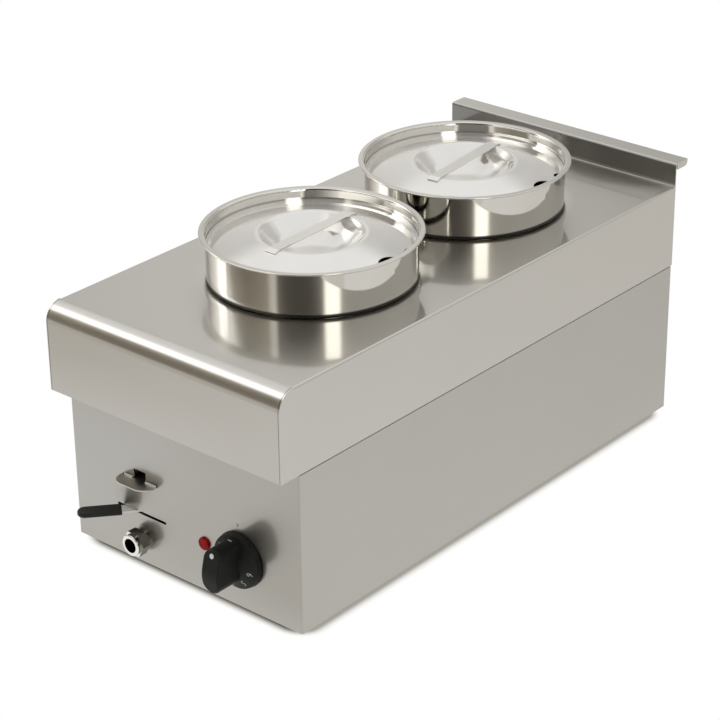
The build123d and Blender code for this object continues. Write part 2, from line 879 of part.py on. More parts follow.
def lever_nut():
    """Nut that holds the lever on the stem."""
    face = RegularPolygon(lever_nut_across / 2, 6, major_radius=False) - Circle(stem_square / 2)
    return Pos(0, 0, lever_z + lever_sheet / 2) * extrude(face, lever_nut_height)


def outlet_nut():
    """Chromed compression nut outside the panel, with the open drain bore."""
    y0 = panel_y - outlet_nut_out
    nut = hexagon_along_y(
        drain_x, valve_z, y0 + nut_collar_front, panel_y - nut_collar_back, outlet_nut_across
    )
    corner = outlet_nut_across / sqrt(3)
    barrel = lengthwise(drain_x, valve_z, y0, panel_y, corner)
    nut &= chamfer(barrel.edges(), nut_collar_front + fold, fold)
    nut += lengthwise(drain_x, valve_z, y0, panel_y, nut_collar_radius)
    front = nut.faces().sort_by(Axis.Y)[0]
    nut = fillet(front.edges(), fold)
    nut -= lengthwise(drain_x, valve_z, y0, panel_y, pipe_radius + pipe_joint)
    return nut - lengthwise(drain_x, valve_z, neck_end_y, panel_y, neck_radius)


def inlet_nut():
    """Compression nut that holds the drain pipe in the valve's inlet."""
    y1 = inlet_end_y + neck_reach
    y0 = y1 - inlet_nut_length
    nut = hexagon_along_y(drain_x, valve_z, y0, y1, outlet_nut_across)
    nut -= lengthwise(drain_x, valve_z, y0, inlet_end_y, neck_radius)
    return nut - lengthwise(drain_x, valve_z, inlet_end_y, y1, pipe_radius)


def drain_pipe():
    """Copper pipe from the boss under the well, round a bend and into the valve."""
    path = FilletPolyline(
        (drain_x, pivot_y + valve_radius, valve_z),
        (drain_x, pipe_rise_y, valve_z),
        (drain_x, pipe_rise_y, well_z - sheet),
        radius=pipe_bend,
    )
    start = Plane(origin=path @ 0, z_dir=path % 0)
    ring = Circle(pipe_radius) - Circle(pipe_radius - pipe_wall)
    return sweep(start * ring, path)


def tank_boss():
    """Boss welded under the well round the top of the drain pipe."""
    high = well_z - sheet
    boss = upright(drain_x, pipe_rise_y, high - boss_height, high, boss_radius)
    return boss - upright(drain_x, pipe_rise_y, high - boss_height, high, pipe_radius)


def catch_plate():
    """Thumb plate outside the panel, with a neck through the window to an inner hinge."""
    low = catch_z - catch_sheet / 2
    high = catch_z + catch_sheet / 2
    back = panel_y - catch_gap
    front = panel_y - catch_out
    thumb = rounded_face([
        (drain_x - catch_half, back, 0),
        (drain_x - catch_half, front, catch_left_corner),
        (drain_x + catch_half, front, catch_right_corner),
        (drain_x + catch_half, back, 0),
    ])
    plate = Pos(0, 0, low) * extrude(thumb, catch_sheet)
    x0 = drain_x - catch_neck_half
    x1 = drain_x + catch_neck_half
    web = hinge_y + knuckle_radius
    plate += block(x0, x1, back, web, low, high)
    plate += block(x0, x1, web - catch_sheet, web, low, hinge_z)
    plate += crosswise(hinge_y, hinge_z, x0, x1, knuckle_radius)
    tongue_y = panel_y + tongue_back
    nut_top = lever_z + lever_sheet / 2 + lever_nut_height + stem_stand
    tongue_z = nut_top + tongue_clearance
    tongue_x0 = drain_x - tongue_half
    tongue_x1 = drain_x + tongue_half
    plate += block(tongue_x0, tongue_x1, tongue_y, tongue_y + catch_sheet, tongue_z, low)
    return plate - crosswise(hinge_y, hinge_z, x0, x1, catch_pin_radius + running_gap)


def catch_ears():
    """Inner faces of the two ears that carry the catch's pin."""
    reach = catch_window_half
    return ((drain_x - reach - ear_sheet, -1), (drain_x + reach, 1))


def catch_bracket():
    """Two folded ears welded to the back of the front panel."""
    ears = []
    low = hinge_z - knuckle_radius
    high = hinge_z + knuckle_radius
    for x0, side in catch_ears():
        ear = block(x0, x0 + ear_sheet, panel_back, hinge_y + knuckle_radius, low, high)
        foot_x0 = min(x0, x0 + side * ear_foot)
        ear += block(foot_x0, foot_x0 + ear_foot, panel_back, panel_back + ear_sheet, low, high)
        ears.append(ear - crosswise(hinge_y, hinge_z, x0, x0 + ear_sheet, catch_pin_radius))
    return group(ears)


def catch_pin():
    """Hinge pin of the catch, fixed in both ears."""
    reach = catch_window_half + 2 * ear_sheet
    return crosswise(hinge_y, hinge_z, drain_x - reach, drain_x + reach, catch_pin_radius)


def knob():
    """Moulded knob: dial skirt with a deep rounded grip, hollow at the back."""
    skirt = turned([
        (0, 0, 0),
        (knob_radius, 0, 0),
        (knob_radius - knob_edge_round, knob_edge, knob_edge_round),
        (grip_half_width, knob_face, 0),
        (0, knob_face, 0),
    ])
    tall = knob_out - knob_gap
    front = rounded_face([
        (-knob_radius, 0, 0),
        (-knob_radius, tall - grip_nose, 0),
        (0, tall + grip_nose / 2, grip_crown),
        (knob_radius, tall - 2 * grip_nose, 0),
        (knob_radius, 0, 0),
    ])
    plan = Rot(0, 0, 90) * SlotOverall(grip_top + grip_bottom, 2 * grip_half_width)
    grip = Pos(0, (grip_top - grip_bottom) / 2, 0) * extrude(plan, knob_out)
    grip &= extrude(Plane.YZ * front, knob_radius, both=True)
    sides = [face for face in grip.faces() if abs(face.normal_at().Z) < cos(radians(60))]
    rim = [edge for side in sides for edge in side.edges() if edge.center().Z > tall - 3 * grip_nose]
    grip = fillet(rim, grip_round)
    shape = skirt + grip
    recess = turned([
        (hub_radius, 0, 0),
        (knob_recess_radius, 0, 0),
        (knob_recess_radius, knob_recess_depth, 0),
        (hub_radius, knob_recess_depth, 0),
    ])
    shape -= recess
    shape -= upright(0, 0, 0, spindle_in_knob, spindle_radius)
    return Pos(knob_x, knob_back_y, knob_z) * Rot(90, 0, 0) * shape


def thermostat_spindle():
    """Spindle that the knob turns."""
    end = knob_back_y - spindle_in_knob
    return lengthwise(knob_x, knob_z, end, spindle_reach_y, spindle_radius)


def thermostat_screws():
    """Two screws that hold the thermostat to the panel, hidden by the knob."""
    screws = []
    for side in (-1, 1):
        z = knob_z + side * thermostat_screw_pitch / 2
        head = lengthwise(knob_x, z, panel_y - screw_head_height, panel_y, screw_head_radius)
        shank = lengthwise(knob_x, z, panel_y, panel_back + 2 * screw_head_radius, screw_radius)
        screws.append(head + shank)
    return group(screws)


def thermostat_body():
    """Thermostat behind the panel, with tapped holes for its screws."""
    x0 = knob_x - thermostat_width / 2
    z0 = knob_z - thermostat_tall / 2
    y1 = panel_back + thermostat_deep
    body = block(x0, x0 + thermostat_width, panel_back, y1, z0, z0 + thermostat_tall)
    upright_edges = body.edges().filter_by(Axis.Y)
    body = fillet(upright_edges, casing_bend)
    body -= lengthwise(knob_x, knob_z, panel_back, spindle_reach_y, spindle_radius + running_gap)
    for side in (-1, 1):
        z = knob_z + side * thermostat_screw_pitch / 2
        depth = panel_back + 2 * screw_head_radius
        body -= lengthwise(knob_x, z, panel_back, depth, screw_radius)
    return body


def neon_lens():
    """Red domed lens with a flange on the panel and a neck through it."""
    lens = turned([
        (0, -sheet, 0),
        (neon_neck_radius, -sheet, 0),
        (neon_neck_radius, 0, 0),
        (neon_radius, 0, 0),
        (neon_radius, neon_rim, 0),
        (neon_radius - neon_rim / 2, neon_out, neon_rim),
        (0, neon_out, 0),
    ])
    return Pos(neon_x, panel_y, knob_z) * Rot(90, 0, 0) * lens


def neon_body():
    """Lamp body behind the lens, with two blade terminals."""
    y1 = panel_back + neon_body_length
    body = lengthwise(neon_x, knob_z, panel_back, y1, neon_neck_radius)
    for side in (-1, 1):
        x = neon_x + side * neon_neck_radius / 2
        blade_z = knob_z - neon_rim
        body += block(x - sheet / 2, x + sheet / 2, y1, y1 + neon_radius, blade_z, knob_z + neon_rim)
    return body


def neon_clip():
    """Push-on ring that holds the lamp body against the panel."""
    y1 = panel_back + neon_clip_height
    ring = lengthwise(neon_x, knob_z, panel_back, y1, neon_clip_radius)
    return ring - lengthwise(neon_x, knob_z, panel_back, y1, neon_neck_radius)


def cable_gland():
    """Gland in the rear panel for the supply lead."""
    y0 = rear_y - locknut_length - sheet
    y1 = rear_face_y + gland_hex_length
    y2 = y1 + gland_dome_length
    gland = lengthwise(gland_x, gland_z, y0, rear_face_y, gland_thread_radius)
    gland += hexagon_along_y(gland_x, gland_z, rear_face_y, y1, gland_hex_across)
    dome = lengthwise(gland_x, gland_z, y1, y2, gland_dome_radius)
    gland += fillet(dome.faces().sort_by(Axis.Y)[-1].edges(), gland_dome_radius / 2)
    return gland - lengthwise(gland_x, gland_z, y0, y2, cable_bore)


def gland_locknut():
    """Locknut of the supply gland, inside the rear panel."""
    y0 = rear_y - locknut_length
    nut = hexagon_along_y(gland_x, gland_z, y0, rear_y, gland_hex_across)
    return nut - lengthwise(gland_x, gland_z, y0, rear_y, gland_thread_radius)


def terminal_block():
    """Screw terminal block on the base plate for the supply lead."""
    x0 = gland_x - block_width / 2
    y1 = rear_y - block_back
    shape = block(x0, x0 + block_width, y1 - block_deep, y1, floor_z, floor_z + block_tall)
    step = block_width / block_ways
    for n in range(block_ways):
        x = x0 + (n + 0.5) * step
        z = floor_z + block_tall / 2
        shape -= lengthwise(x, z, y1 - block_deep, y1, screw_radius)
        top = floor_z + block_tall
        for y in (y1 - block_deep / 4, y1 - 3 * block_deep / 4):
            shape -= upright(x, y, z, top, screw_head_radius)
    return shape


def at_pot(shape, place, turn):
    """Put a shape made about Z, with the rim at height zero, on one pot's place."""
    return Pos(0, pot_places[place], rim_z) * Rot(0, 0, turn) * shape


def pieces():
    """Every node of the object, by name."""
    nodes = {
        "hob_top": hob_top(),
        "casing": casing(),
        "rear_panel": rear_panel(),
        "rear_screws": rear_screws(),
        "base_plate": base_plate(),
        "feet": feet(),
        "foot_screws": foot_screws(),
        "foot_nuts": foot_nuts(),
        "water_tank": water_tank(),
        "trivet": trivet(),
        "heating_element": heating_element(),
        "element_nuts": element_nuts(),
        "sensing_bulb": sensing_bulb(),
        "bulb_gland": bulb_gland(),
        "valve_body": valve_body(),
        "valve_inlet": valve_inlet(),
        "ball_seats": ball_seats(),
        "outlet_nut": outlet_nut(),
        "inlet_nut": inlet_nut(),
        "drain_pipe": drain_pipe(),
        "tank_boss": tank_boss(),
        "valve_ball": lever_turn(valve_ball()),
        "valve_stem": lever_turn(valve_stem()),
        "drain_lever": lever_turn(drain_lever()),
        "lever_sleeve": lever_turn(lever_sleeve()),
        "lever_nut": lever_turn(lever_nut()),
        "catch_plate": catch_plate(),
        "catch_bracket": catch_bracket(),
        "catch_pin": catch_pin(),
        "control_knob": knob(),
        "thermostat_spindle": thermostat_spindle(),
        "thermostat_body": thermostat_body(),
        "thermostat_screws": thermostat_screws(),
        "neon_lens": neon_lens(),
        "neon_body": neon_body(),
        "neon_clip": neon_clip(),
        "cable_gland": cable_gland(),
        "gland_locknut": gland_locknut(),
        "terminal_block": terminal_block(),
    }
    for place, turn in lid_turn.items():
        nodes[place + "_pot"] = at_pot(pot(), place, 0)
        nodes[place + "_lid"] = at_pot(lid(), place, turn)
        nodes[place + "_lid_handle"] = at_pot(lid_handle(), place, turn)
    return nodes


os.makedirs("parts", exist_ok=True)
for name, shape in pieces().items():
    export_step(shape, f"parts/{name}.step")
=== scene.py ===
import json
import math

import bmesh
import bpy
from mathutils import Matrix, Vector


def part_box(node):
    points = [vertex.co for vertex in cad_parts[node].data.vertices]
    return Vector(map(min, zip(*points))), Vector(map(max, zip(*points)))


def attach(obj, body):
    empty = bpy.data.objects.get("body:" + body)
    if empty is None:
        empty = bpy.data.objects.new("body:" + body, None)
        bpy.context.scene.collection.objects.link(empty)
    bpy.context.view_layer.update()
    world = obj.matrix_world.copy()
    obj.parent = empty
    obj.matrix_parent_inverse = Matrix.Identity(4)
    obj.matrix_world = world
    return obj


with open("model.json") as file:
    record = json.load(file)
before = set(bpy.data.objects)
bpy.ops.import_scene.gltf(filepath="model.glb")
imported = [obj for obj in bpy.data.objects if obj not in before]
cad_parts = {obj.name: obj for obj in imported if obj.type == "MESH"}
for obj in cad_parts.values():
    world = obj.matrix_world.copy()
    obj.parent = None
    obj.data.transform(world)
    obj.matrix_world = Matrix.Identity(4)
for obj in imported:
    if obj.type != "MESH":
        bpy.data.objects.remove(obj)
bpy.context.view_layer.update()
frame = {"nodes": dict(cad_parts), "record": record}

nodes = frame["nodes"]
mm = 0.001

# Camera, in metres and degrees. Turn goes from the front toward the right.
camera_place = Vector((1.425, -1.68119, 1.2242))
camera_turn = math.radians(40.77)
camera_rise = math.radians(26.31)
camera_roll = math.radians(-0.70)
camera_lens = 119.66
camera_sensor = 36.0

# Places on the solids. The knob's axis is level with the lens.
casing_low, casing_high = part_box("casing")
knob_low, knob_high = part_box("control_knob")
lens_low, lens_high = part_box("neon_lens")
knob_x = (knob_low.x + knob_high.x) / 2
knob_z = (lens_low.z + lens_high.z) / 2
knob_back = knob_high.y
knob_gap = 1.2 * mm
panel_face = knob_back + knob_gap
deck_top = 266.0 * mm

# Pots and lids: middle between their axes and half the distance of the axes, then the radius
# where a lid's bowl meets its cone and the radius where its buffed edge begins.
front_pot_low, front_pot_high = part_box("front_pot")
rear_pot_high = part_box("rear_pot")[1]
pots_middle = (front_pot_low.y + rear_pot_high.y) / 2
pots_half_pitch = (rear_pot_high.y - front_pot_high.y) / 2
bowl_edge = 51.0 * mm
lid_buffed = 72.0 * mm

# Painted shadow: a dark line round each pot where it goes into the deck, for the shade under its rounded
# shoulder.
painted_shadow_top = 269.0 * mm
painted_shadow_band = 6.0 * mm
painted_shadow_fade = 1.4 * mm
painted_shadow_tone = (0.045, 0.042, 0.037)
painted_shadow_inside = 102.5 * mm

# Marks on the knob. Angles go clockwise from the top. Points of a mark are cast onto the knob
# from outside it, from cast_from away.
numeral_ring = 21.0 * mm
numeral_size = 8.6 * mm
numeral_start = 104
numeral_step = 41
low_numeral = "4"
low_ring = 23.6 * mm
low_size = 7.0 * mm
tick_out = 12.2 * mm
tick_half = (2.4 * mm, 0.8 * mm)
tick_steps = 6
dot_height = 20.5 * mm
dot_radius = 2.5 * mm
dot_steps = 40
ink = 0.12 * mm
cast_from = 10 * mm

# Index on the panel: half its width and height, and its place from the knob's axis.
index_half = (1.3 * mm, 1.7 * mm)
index_left = 1.7 * mm
index_up = 36.1 * mm

# Lip folded up along the catch plate's root, on both sides of its window.
catch_top = 97.9 * mm
catch_gap = 1.5 * mm
catch_back = panel_face - catch_gap
lip_spans = ((-78.0 * mm, -66.6 * mm), (-49.4 * mm, -34.8 * mm))
lip_rise = 1.9 * mm
lip_sheet = 0.6 * mm

# Contact shadow on the floor: its corners' radius, where it begins and ends by the distance
# from the casing's outline, how that distance is stretched and shifted, and the least share
# of plain white in it.
shadow_corner = 28.0 * mm
shadow_start = -10 * mm
shadow_end = 3.5 * mm
shadow_side_stretch = 0.84
shadow_side_shift = 3.4 * mm
shadow_front_shift = 2.0 * mm
shadow_side_least = 0.27
shadow_front_least = 0.04

# Studio, in metres. A brightness of 1 is white, and card_power is above the brightest card.
# The wall fades at its top, which is higher by top_taller behind at the left. The diffuser is
# even up to a share of its half size.
floor_half = 9.0
card_power = 4.0
wall_radius = 2.8
wall_height = 4.3
wall_middle = 2.16
wall_sides = 128
foot_fade = (0.55, 1.1)
top_fade = (1.75, 2.3)
top_taller = 0.4
diffuser_place = (-0.32, -0.465, 0.646)
diffuser_tilt = math.radians(27)
diffuser_half = (0.50, 0.19)
diffuser_even = 0.35
diffuser_power = 2.3
lamp_target = (0, 0, 0.2)


class Graph:
    """Short way to write the nodes of a material or of the world."""

    def __init__(self, owner):
        owner.use_nodes = True
        self.tree = owner.node_tree

    def add(self, kind, sockets=None, **settings):
        node = self.tree.nodes.new("ShaderNode" + kind)
        for key, value in settings.items():
            setattr(node, key, value)
        for key, value in (sockets or {}).items():
            self.put(node, key, value)
        return node

    def put(self, node, key, value):
        """Link or set one input of a node."""
        if isinstance(value, bpy.types.NodeSocket):
            self.tree.links.new(value, node.inputs[key])
        else:
            node.inputs[key].default_value = value

    def math(self, kind, first, second=0.0):
        return self.add("Math", {0: first, 1: second}, operation=kind).outputs[0]

    def length(self, x, y):
        """Length of a flat vector."""
        square = self.math("ADD", self.math("MULTIPLY", x, x), self.math("MULTIPLY", y, y))
        return self.math("SQRT", square)

    def place(self, scale=(1, 1, 1)):
        """Point on the object in metres, scaled along each axis."""
        spot = self.add("TexCoord").outputs["Object"]
        return self.add("Mapping", {"Vector": spot, "Scale": scale}).outputs["Vector"]

    def spot(self):
        """The three coordinates of the point."""
        return self.add("SeparateXYZ", {0: self.place()}).outputs

    def facing(self):
        """The three parts of the surface's direction, along the object's own axes."""
        return self.add("SeparateXYZ", {0: self.add("TexCoord").outputs["Normal"]}).outputs

    def noise(self, vector, scale=1.0, detail=2.0, rough=0.5):
        sockets = {"Vector": vector, "Scale": scale, "Detail": detail, "Roughness": rough}
        return self.add("TexNoise", sockets).outputs["Fac"]

    def ranged(self, value, low, high, start=0.3, end=0.7):
        """Low up to start, high from end on, and evenly between."""
        sockets = {"Value": value, "From Min": start, "From Max": end, "To Min": low, "To Max": high}
        return self.add("MapRange", sockets).outputs["Result"]

    def eased(self, value, start, end):
        """0 up to start, 1 from end on, and a smooth step between."""
        sockets = {"Value": value, "From Min": start, "From Max": end}
        return self.add("MapRange", sockets, interpolation_type="SMOOTHSTEP").outputs["Result"]

    def tint(self, value, low, high):
        """Colour between low and high, each a colour or a socket, by a value from 0 to 1."""
        node = self.add("Mix", data_type="RGBA", clamp_factor=True)
        self.put(node, 0, value)
        for key, colour in ((6, low), (7, high)):
            self.put(node, key, colour if isinstance(colour, bpy.types.NodeSocket) else (*colour, 1))
        return node.outputs[2]

    def bump(self, height, strength, distance, normal=None):
        node = self.add("Bump", {"Height": height, "Strength": strength, "Distance": distance})
        if normal:
            self.put(node, "Normal", normal)
        return node.outputs["Normal"]

    def shader(self):
        return self.tree.nodes["Principled BSDF"]

    def surface(self, share, first, second):
        """Make the surface a mix of two shaders, with a share of the second."""
        mixed = self.add("MixShader", {0: share, 1: first.outputs[0], 2: second.outputs[0]})
        self.put(self.tree.nodes["Material Output"], "Surface", mixed.outputs[0])


def scaled(colour, factor):
    return tuple(min(1.0, channel * factor) for channel in colour)


def new_graph(name):
    material = bpy.data.materials.new(name)
    return material, Graph(material)


def sheet_steel(name, colour, rough, along, side_along=None, mirror=0.0, haze=0.1, metal=1.0,
                painted_shade_above=None):
    """Satin stainless sheet: faint grain and wiped patches.

    Mirror is the index of a coat with a clearer image. Faces turned to the front above the height given in
    the last argument get painted shade: a darker colour, and a weaker coat.
    """
    material, g = new_graph(name)
    grain = g.noise(g.place(along), detail=3.0, rough=0.55)
    if side_along:
        sideways = g.math("ABSOLUTE", g.facing()[0])
        side_grain = g.noise(g.place(side_along), detail=3.0, rough=0.55)
        grain = g.math("ADD", g.math("MULTIPLY", side_grain, sideways),
                       g.math("MULTIPLY", grain, g.math("SUBTRACT", 1.0, sideways)))
    wiped = g.noise(g.place(), scale=9.0, detail=3.0, rough=0.55)
    tone = g.tint(g.ranged(grain, 0, 1), scaled(colour, 0.99), scaled(colour, 1.01))
    coat = 1.0
    # Painted shade: faces turned to the front above the given height, such as the rear upstand, are
    # darkened and their coat weakened.
    if painted_shade_above:
        dull = g.math("MULTIPLY", g.ranged(g.facing()[1], 1.0, 0.0, -0.95, -0.6),
                      g.ranged(g.spot()[2], 0.0, 1.0, painted_shade_above, painted_shade_above + 4 * mm))
        tone = g.tint(dull, tone, scaled(colour, 0.3))
        coat = g.ranged(dull, 1.0, 0.6, 0, 1)
    shader = g.shader()
    g.put(shader, "Metallic", metal)
    g.put(shader, "Base Color", tone)
    wiped_rough = g.ranged(wiped, rough - 0.02, rough + 0.03)
    g.put(shader, "Roughness", g.math("ADD", g.ranged(grain, -0.02, 0.02), wiped_rough))
    g.put(shader, "Normal", g.bump(grain, strength=0.03, distance=0.02 * mm))
    if mirror:
        g.put(shader, "Coat Weight", coat)
        g.put(shader, "Coat IOR", mirror)
        g.put(shader, "Coat Roughness", haze)
    return material


def axis_distance(g):
    """Distance from the upright axis of the nearer pot and lid."""
    spot = g.spot()
    off_y = g.math("ABSOLUTE", g.math("SUBTRACT", spot[1], pots_middle))
    return g.length(spot[0], g.math("SUBTRACT", off_y, pots_half_pitch))


def polished_steel(name, colour, rough, painted_shadow_below=None):
    """Mirror-polished spun steel: waves of the drawn sheet, hairline scratches and wipe marks.

    A dark line of painted shadow lies just below the height given as its last argument.
    """
    material, g = new_graph(name)
    waves = g.noise(g.place(), scale=16.0, detail=1.0, rough=0.4)
    hairs = g.noise(g.place((60, 60, 2200)), detail=3.0, rough=0.6)
    wiped = g.noise(g.place(), scale=24.0, detail=4.0, rough=0.6)
    tone = g.tint(g.ranged(wiped, 0, 1), scaled(colour, 0.97), scaled(colour, 1.02))
    # Painted shadow: darken a band round the pot's foot, on its outer wall, where shade falls under the
    # shoulder.
    if painted_shadow_below:
        height = g.spot()[2]
        foot = painted_shadow_below - painted_shadow_band
        under = g.ranged(height, 1.0, 0.0, painted_shadow_below, painted_shadow_below + painted_shadow_fade)
        over = g.ranged(height, 0.0, 1.0, foot, foot + painted_shadow_fade)
        outside = g.ranged(axis_distance(g), 0.0, 1.0, painted_shadow_inside, painted_shadow_inside + 0.2 * mm)
        tone = g.tint(g.math("MULTIPLY", outside, g.math("MULTIPLY", under, over)), tone, painted_shadow_tone)
    shader = g.shader()
    g.put(shader, "Metallic", 1.0)
    g.put(shader, "Base Color", tone)
    g.put(shader, "Roughness", g.ranged(wiped, rough * 0.7, rough * 1.5))
    waved = g.bump(waves, strength=0.25, distance=1.2 * mm)
    g.put(shader, "Normal", g.bump(hairs, strength=0.05, distance=0.04 * mm, normal=waved))
    return material


def spun_lid(name, colour):
    """Lid of spun steel: satin cone between a polished bowl and a buffed edge, with faint rings."""
    material, g = new_graph(name)
    radius = axis_distance(g)
    rings = g.noise(g.add("CombineXYZ", {0: radius}).outputs[0], scale=1500.0)
    wiped = g.noise(g.place(), scale=24.0, detail=4.0, rough=0.6)
    satin = g.ranged(radius, 0.10, 0.18, bowl_edge, bowl_edge + 3 * mm)
    buffed = g.ranged(radius, 0.0, 0.13, lid_buffed, lid_buffed + 12 * mm)
    satin = g.math("SUBTRACT", satin, buffed)
    shader = g.shader()
    g.put(shader, "Metallic", 0.65)
    g.put(shader, "Base Color", g.tint(g.ranged(wiped, 0, 1), scaled(colour, 0.98), scaled(colour, 1.02)))
    g.put(shader, "Roughness", g.math("ADD", satin, g.ranged(wiped, -0.02, 0.03)))
    g.put(shader, "Normal", g.bump(rings, strength=0.04, distance=0.03 * mm))
    return material


def plated_metal(name, colour, rough, spots=0.06, pitch=220.0):
    """Turned or cast metal with tool marks, dull spots and a little tarnish."""
    material, g = new_graph(name)
    mottle = g.noise(g.place(), scale=pitch, detail=4.0, rough=0.6)
    tarnish = g.noise(g.place(), scale=pitch / 8, detail=3.0, rough=0.6)
    shader = g.shader()
    g.put(shader, "Metallic", 1.0)
    g.put(shader, "Base Color", g.tint(g.ranged(tarnish, 0, 1), scaled(colour, 0.86), scaled(colour, 1.06)))
    g.put(shader, "Roughness", g.ranged(mottle, rough - spots, rough + spots))
    g.put(shader, "Normal", g.bump(mottle, strength=0.10, distance=0.1 * mm))
    return material


def chromed(name, face, flats, rough):
    """Chromed fitting with painted light and shade: faces turned to the front or back get a brighter colour
    than the flats of its hexagon.
    """
    material, g = new_graph(name)
    wiped = g.noise(g.place(), scale=220.0, detail=4.0, rough=0.6)
    # Painted light and shade: the colour goes from the darker flats to the brighter faces by how far the
    # surface turns to the front or back.
    forward = g.math("ABSOLUTE", g.facing()[1])
    shader = g.shader()
    g.put(shader, "Metallic", 1.0)
    g.put(shader, "Base Color", g.tint(g.ranged(forward, 0, 1, 0.15, 0.6), flats, face))
    g.put(shader, "Roughness", g.ranged(wiped, rough * 0.7, rough * 1.3))
    g.put(shader, "Normal", g.bump(wiped, strength=0.015, distance=0.1 * mm))
    return material


def moulded(name, colour, rough, texture=0.12, pitch=2600.0, shine=0.5):
    """Moulded plastic or rubber: fine spark-eroded texture, handled patches and slight shade changes."""
    material, g = new_graph(name)
    grain = g.noise(g.place(), scale=pitch)
    handled = g.noise(g.place(), scale=60.0, detail=3.0, rough=0.55)
    shader = g.shader()
    g.put(shader, "Base Color", g.tint(g.ranged(handled, 0, 1), scaled(colour, 0.88), scaled(colour, 1.14)))
    g.put(shader, "Roughness", g.ranged(handled, rough - 0.06, rough + 0.06))
    g.put(shader, "Specular IOR Level", shine)
    g.put(shader, "Normal", g.bump(grain, strength=texture, distance=0.12 * mm))
    return material


def lamp_red():
    """Red lens whose moulded facets break up the light inside it."""
    material, g = new_graph("lens_red")
    cells = g.add("TexVoronoi", {"Vector": g.place(), "Scale": 300.0}, feature="F1").outputs["Distance"]
    edges = g.ranged(cells, 0, 1, 0.1, 0.7)
    shader = g.shader()
    g.put(shader, "Base Color", g.tint(edges, (0.62, 0.004, 0.007), (0.22, 0.001, 0.002)))
    g.put(shader, "Roughness", g.ranged(cells, 0.22, 0.36, 0.1, 0.7))
    g.put(shader, "Specular IOR Level", 0.12)
    g.put(shader, "Normal", g.bump(cells, strength=0.25, distance=0.6 * mm))
    return material


def oxidised(name, colour, rough):
    """Heated sheath with darker and straw-coloured oxide clouds."""
    material, g = new_graph(name)
    clouds = g.noise(g.place(), scale=46.0, detail=4.0, rough=0.6)
    scale = g.noise(g.place(), scale=900.0, detail=3.0, rough=0.6)
    straw = (colour[0] * 1.5, colour[1] * 1.3, colour[2])
    shader = g.shader()
    g.put(shader, "Metallic", 1.0)
    g.put(shader, "Base Color", g.tint(g.ranged(clouds, 0, 1), scaled(colour, 0.7), straw))
    g.put(shader, "Roughness", g.ranged(scale, rough - 0.1, rough + 0.1))
    g.put(shader, "Normal", g.bump(scale, strength=0.2, distance=0.15 * mm))
    return material


def printed(name, colour):
    """Screen-printed mark, slightly worn."""
    material, g = new_graph(name)
    worn = g.noise(g.place(), scale=1500.0, detail=3.0, rough=0.6)
    shader = g.shader()
    g.put(shader, "Base Color", g.tint(g.ranged(worn, 0, 1), scaled(colour, 0.82), colour))
    g.put(shader, "Roughness", g.ranged(worn, 0.45, 0.65))
    g.put(shader, "Normal", g.bump(worn, strength=0.1, distance=0.05 * mm))
    return material


warm_steel = (0.500, 0.487, 0.458)
hob_shade = (0.455, 0.435, 0.392)
casing_shade = (0.377, 0.362, 0.325)
pot_steel = (0.66, 0.643, 0.605)
strap_shade = (0.79, 0.775, 0.745)
lid_shade = (0.80, 0.785, 0.755)

# Grain of a sheet, as noise cells per metre along x, y and z.
grain_x = (900, 12, 12)
grain_y = (12, 900, 12)
grain_z = (12, 12, 900)
coarse_x = (160, 12, 12)

finishes = {
    # The hob's upstand gets painted shade above the deck.
    "hob_steel": sheet_steel("hob_sheet", hob_shade, 0.38, grain_x, grain_z, mirror=3.0, haze=0.085,
                             painted_shade_above=deck_top),
    "casing_steel": sheet_steel("casing_sheet", casing_shade, 0.42, grain_z, mirror=2.6, haze=0.16),
    "back_steel": sheet_steel("back_sheet", casing_shade, 0.42, grain_z, mirror=2.6, haze=0.2),
    "tank_steel": sheet_steel("tank_sheet", warm_steel, 0.34, grain_z),
    "polished_steel": polished_steel("spun_steel", pot_steel, 0.05, painted_shadow_below=painted_shadow_top),
    "lid_steel": spun_lid("lid_steel", lid_shade),
    "handle_steel": polished_steel("strap_steel", strap_shade, 0.14),
    "catch_steel": sheet_steel("catch_sheet", (0.62, 0.605, 0.575), 0.30, coarse_x),
    "lever_steel": sheet_steel("lever_sheet", (0.84, 0.83, 0.80), 0.42, grain_y, metal=0.5),
    "screw_steel": plated_metal("screw_metal", (0.62, 0.61, 0.585), 0.26),
    "element_sheath": oxidised("sheath_metal", (0.26, 0.23, 0.20), 0.42),
    # Painted shade: the brass in the outlet's bore is made nearly black, for the shade deep inside it.
    "valve_brass": plated_metal("brass_metal", (0.085, 0.068, 0.042), 0.55),
    # Painted light and shade: the first colour is for faces turned to the front, the second, darker one for
    # the flats.
    "valve_chrome": chromed("chrome_metal", (0.93, 0.92, 0.90), (0.26, 0.255, 0.24), 0.12),
    "drain_copper": plated_metal("copper_metal", (0.72, 0.37, 0.22), 0.34),
    "foot_rubber": moulded("rubber_foot", (0.028, 0.028, 0.028), 0.78, texture=0.25, pitch=1400.0),
    "sleeve_black": moulded("vinyl_sleeve", (0.010, 0.011, 0.011), 0.46, shine=0.3),
    "knob_black": moulded("knob_plastic", (0.006, 0.0073, 0.0068), 0.48, shine=0.25),
    "lamp_red": lamp_red(),
    "gland_black": moulded("gland_nylon", (0.022, 0.022, 0.023), 0.46),
    "phenolic": moulded("phenolic_resin", (0.050, 0.034, 0.024), 0.42),
    "block_white": moulded("nylon_block", (0.78, 0.77, 0.73), 0.5),
    "seat_white": moulded("seat_plastic", (0.82, 0.82, 0.80), 0.4),
}

own_finish = {"front_lid": "lid_steel", "rear_lid": "lid_steel"}


